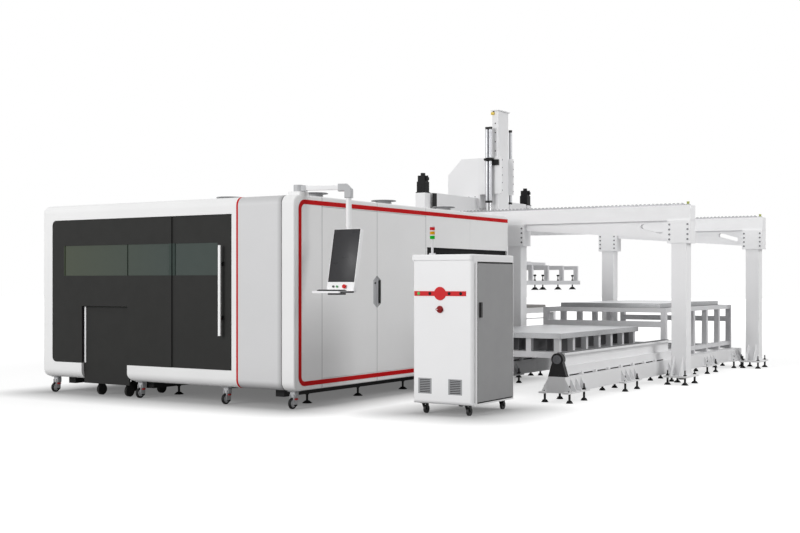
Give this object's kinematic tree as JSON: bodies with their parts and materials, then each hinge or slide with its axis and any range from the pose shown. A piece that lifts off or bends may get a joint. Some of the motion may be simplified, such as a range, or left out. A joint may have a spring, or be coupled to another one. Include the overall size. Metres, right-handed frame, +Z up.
{
  "type": "laser cutting machine",
  "caption": "Enclosed sheet laser cutter with sliding front door, swinging control screen, source cabinet, exchange pallets and an overhead suction loader over a sheet cart and rack.",
  "frame": {"origin": "middle of the whole line's footprint, on the floor", "axes": "+X to the right along the front, +Y into the depth away from the front door, +Z up"},
  "size_m": [6.669, 9.4774, 4.26],
  "materials": {
    "shell_white": "satin",
    "shell_grey": "satin",
    "red_trim": "gloss",
    "black_panel": "satin",
    "tinted_glass": "gloss",
    "handle_white": "satin",
    "frame_black": "matte",
    "foot_black": "matte",
    "caster_grey": "matte",
    "bed_grey": "matte",
    "pallet_steel": "brushed",
    "axis_grey": "satin",
    "head_metal": "satin",
    "loader_white": "satin",
    "rack_steel": "brushed",
    "motor_black": "satin",
    "hood_white": "satin",
    "cylinder_silver": "satin",
    "rod_chrome": "polished",
    "cup_rubber": "matte",
    "bracket_black": "satin",
    "sheet_steel": "brushed",
    "cabinet_white": "satin",
    "cabinet_grey": "satin",
    "latch_black": "matte",
    "switch_red": "gloss",
    "vent_grey": "matte",
    "caster_black": "matte",
    "tower_grey": "matte",
    "lamp_red": "gloss",
    "pendant_white": "satin",
    "screen_dark": "gloss",
    "button_green": "gloss",
    "button_black": "gloss"
  },
  "bodies": {
    "machine": {"base_frame": "frame_black", "front_hood": "shell_white", "seam_strip": "red_trim", "middle_cover": "shell_grey", "end_cover": "shell_white", "side_stripe": "red_trim", "front_fixed_panel": "black_panel", "fixed_windows": "tinted_glass", "rear_bay_panel": "black_panel", "roof_vents": "shell_white", "enclosure_feet": "foot_black", "enclosure_casters": "caster_grey", "machine_bed": "bed_grey", "exchange_frame": "loader_white", "loader_columns": "loader_white", "loader_beams": "loader_white", "drive_racks": "rack_steel", "loader_feet": "foot_black", "ground_rails": "loader_white", "rail_feet": "foot_black", "rail_end_brackets": "bracket_black", "tall_rack_frame": "loader_white", "tall_rack_sheets": "sheet_steel", "cabinet_body": "cabinet_white", "control_band": "red_trim", "cabinet_vents": "vent_grey", "cabinet_casters": "caster_black", "signal_tower": "tower_grey", "signal_lamps": "lamp_red"},
    "front_door": {"front_door": "black_panel", "door_window": "tinted_glass", "door_handle": "handle_white"},
    "scrap_cart": {"scrap_cart": "black_panel"},
    "side_door_front": {"side_door_front": "shell_white"},
    "side_door_rear": {"side_door_rear": "shell_white"},
    "laser_bridge": {"laser_bridge": "axis_grey"},
    "laser_carriage": {"laser_carriage": "axis_grey"},
    "laser_head": {"laser_head": "head_metal"},
    "upper_pallet": {"upper_pallet": "pallet_steel"},
    "lower_pallet": {"lower_pallet": "pallet_steel"},
    "loader_bridge": {"bridge_beam": "loader_white", "servo_motors": "motor_black", "bridge_hood": "hood_white", "lift_guide": "loader_white", "balance_cylinders": "cylinder_silver"},
    "lift": {"lift_column": "loader_white", "cylinder_rods": "rod_chrome", "suction_frame": "loader_white", "suction_cups": "cup_rubber"},
    "low_cart": {"low_cart_frame": "loader_white", "low_cart_sheets": "sheet_steel"},
    "cabinet_door": {"cabinet_door": "cabinet_grey", "cabinet_latch": "latch_black"},
    "main_switch": {"main_switch": "switch_red"},
    "pendant_arm": {"pendant_arm": "pendant_white"},
    "pendant": {"pendant_housing": "pendant_white", "screen_pane": "screen_dark"},
    "estop_button": {"estop_button": "switch_red"},
    "start_button": {"start_button": "button_green"},
    "stop_button": {"stop_button": "button_black"}
  },
  "joints": [
    {"name": "front_door_slide", "type": "slide", "parent": "machine", "child": "front_door", "axis": [-1, 0, 0], "range_m": [0, 0.68]},
    {"name": "scrap_cart_pull", "type": "slide", "parent": "machine", "child": "scrap_cart", "axis": [0, -1, 0], "range_m": [0, 0.9]},
    {"name": "side_door_front_hinge", "type": "hinge", "parent": "machine", "child": "side_door_front", "pos_m": [0.6855, -4.14331, 1.3], "axis": [0, 0, -1], "range_deg": [0, 90]},
    {"name": "side_door_rear_hinge", "type": "hinge", "parent": "machine", "child": "side_door_rear", "pos_m": [0.6855, -1.86431, 1.3], "axis": [0, 0, 1], "range_deg": [0, 90]},
    {"name": "laser_bridge_slide", "type": "slide", "parent": "machine", "child": "laser_bridge", "axis": [0, 1, 0], "range_m": [-1.6, 1.6]},
    {"name": "laser_carriage_slide", "type": "slide", "parent": "laser_bridge", "child": "laser_carriage", "axis": [1, 0, 0], "range_m": [-0.7, 0.7]},
    {"name": "laser_head_slide", "type": "slide", "parent": "laser_carriage", "child": "laser_head", "axis": [0, 0, 1], "range_m": [-0.07, 0.15]},
    {"name": "upper_pallet_slide", "type": "slide", "parent": "machine", "child": "upper_pallet", "axis": [0, 1, 0], "range_m": [-4.2, 0]},
    {"name": "lower_pallet_slide", "type": "slide", "parent": "machine", "child": "lower_pallet", "axis": [0, 1, 0], "range_m": [0, 4.2]},
    {"name": "loader_bridge_slide", "type": "slide", "parent": "machine", "child": "loader_bridge", "axis": [1, 0, 0], "range_m": [-1.2, 3.4]},
    {"name": "lift_slide", "type": "slide", "parent": "loader_bridge", "child": "lift", "axis": [0, 0, 1], "range_m": [-0.26, 0.45]},
    {"name": "low_cart_slide", "type": "slide", "parent": "machine", "child": "low_cart", "axis": [0, 1, 0], "range_m": [-0.15, 0.42]},
    {"name": "cabinet_door_hinge", "type": "hinge", "parent": "machine", "child": "cabinet_door", "pos_m": [2.6535, -3.29631, 0.9], "axis": [0, 0, 1], "range_deg": [0, 110]},
    {"name": "main_switch_turn", "type": "hinge", "parent": "machine", "child": "main_switch", "pos_m": [2.2625, -4.21731, 1.115], "axis": [0, 1, 0], "range_deg": [0, 90]},
    {"name": "pendant_arm_swing", "type": "hinge", "parent": "machine", "child": "pendant_arm", "pos_m": [0.5995, -4.46731, 2.4], "axis": [0, 0, 1], "range_deg": [-85, 0]},
    {"name": "pendant_swivel", "type": "hinge", "parent": "pendant_arm", "child": "pendant", "pos_m": [1.15798, -4.29656, 1.996], "axis": [0, 0, 1], "range_deg": [-20, 25]},
    {"name": "estop_press", "type": "slide", "parent": "pendant", "child": "estop_button", "axis": [0, 0.9781, -0.2079], "range_m": [0, 0.007], "stiffness_N_per_m": 600},
    {"name": "start_press", "type": "slide", "parent": "pendant", "child": "start_button", "axis": [0, 0.9781, -0.2079], "range_m": [0, 0.0045], "stiffness_N_per_m": 300},
    {"name": "stop_press", "type": "slide", "parent": "pendant", "child": "stop_button", "axis": [0, 0.9781, -0.2079], "range_m": [0, 0.0045], "stiffness_N_per_m": 300}
  ],
  "couplings": [
    {"joint": "lower_pallet_slide", "follows": "upper_pallet_slide", "ratio": -1}
  ]
}
